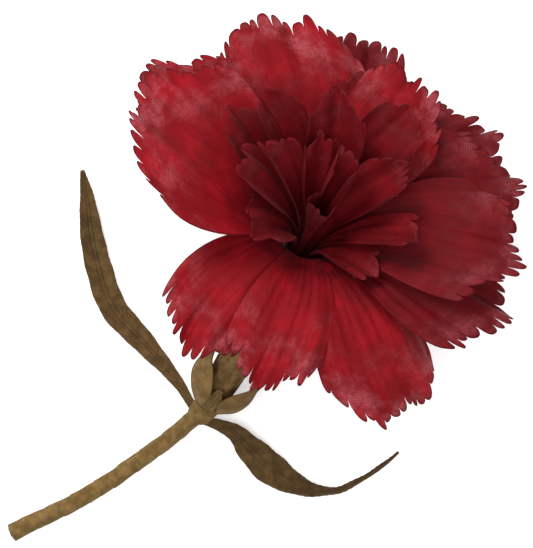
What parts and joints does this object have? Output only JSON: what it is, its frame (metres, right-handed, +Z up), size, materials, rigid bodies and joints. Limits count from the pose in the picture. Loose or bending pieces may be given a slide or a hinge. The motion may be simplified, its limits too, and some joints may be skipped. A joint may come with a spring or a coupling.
{
  "type": "flower hair clip",
  "caption": "Red fabric carnation with a wrapped wire stem and two leaves, on a steel spring hair clip.",
  "frame": {"origin": "middle of the flat underside of the clip's lower arm", "axes": "+Z up from the table that the clip lies on, +Y along the clip from its jaw to its finger end, +X to the right of the stem"},
  "size_m": [0.108, 0.1526, 0.0586],
  "materials": {
    "outer_petal_organza": "satin",
    "inner_petal_organza": "satin",
    "set_glue": "satin",
    "clip_steel": "satin",
    "rivet_steel": "satin",
    "spring_steel": "satin",
    "stem_wire_steel": "satin",
    "pad_felt": "matte",
    "leaf_cloth": "matte",
    "bract_cloth": "matte",
    "calyx_cloth": "matte",
    "stem_cloth": "matte"
  },
  "bodies": {
    "flower": {"bract_front": "bract_cloth", "bract_left": "bract_cloth", "bract_right": "bract_cloth", "calyx": "calyx_cloth", "felt_pad": "pad_felt", "hinge_pin": "rivet_steel", "inner_petal_01": "inner_petal_organza", "inner_petal_02": "inner_petal_organza", "inner_petal_03": "inner_petal_organza", "inner_petal_04": "inner_petal_organza", "inner_petal_05": "inner_petal_organza", "inner_petal_06": "inner_petal_organza", "inner_petal_07": "inner_petal_organza", "inner_petal_08": "inner_petal_organza", "inner_petal_09": "inner_petal_organza", "inner_petal_10": "inner_petal_organza", "inner_petal_11": "inner_petal_organza", "inner_petal_12": "inner_petal_organza", "inner_petal_13": "inner_petal_organza", "leaf_collar": "stem_cloth", "leaf_left": "leaf_cloth", "leaf_right": "leaf_cloth", "outer_petal_01": "outer_petal_organza", "outer_petal_02": "outer_petal_organza", "outer_petal_03": "outer_petal_organza", "outer_petal_04": "outer_petal_organza", "outer_petal_05": "outer_petal_organza", "outer_petal_06": "outer_petal_organza", "outer_petal_07": "outer_petal_organza", "outer_petal_08": "outer_petal_organza", "outer_petal_09": "outer_petal_organza", "outer_petal_10": "outer_petal_organza", "outer_petal_11": "outer_petal_organza", "outer_petal_12": "outer_petal_organza", "petal_plug": "set_glue", "stem_wire": "stem_wire_steel", "stem_wrap": "stem_cloth", "torsion_spring": "spring_steel", "upper_arm": "clip_steel"},
    "clip_jaw": {"lower_arm": "clip_steel"}
  },
  "joints": [
    {"name": "clip_hinge", "type": "hinge", "parent": "flower", "child": "clip_jaw", "pos_m": [0, 0.002, 0.0036], "axis": [1, 0, 0], "range_deg": [0, 20], "stiffness_Nm_per_rad": 0.08, "springref_deg": -68.75, "deforming": ["torsion_spring"]}
  ]
}
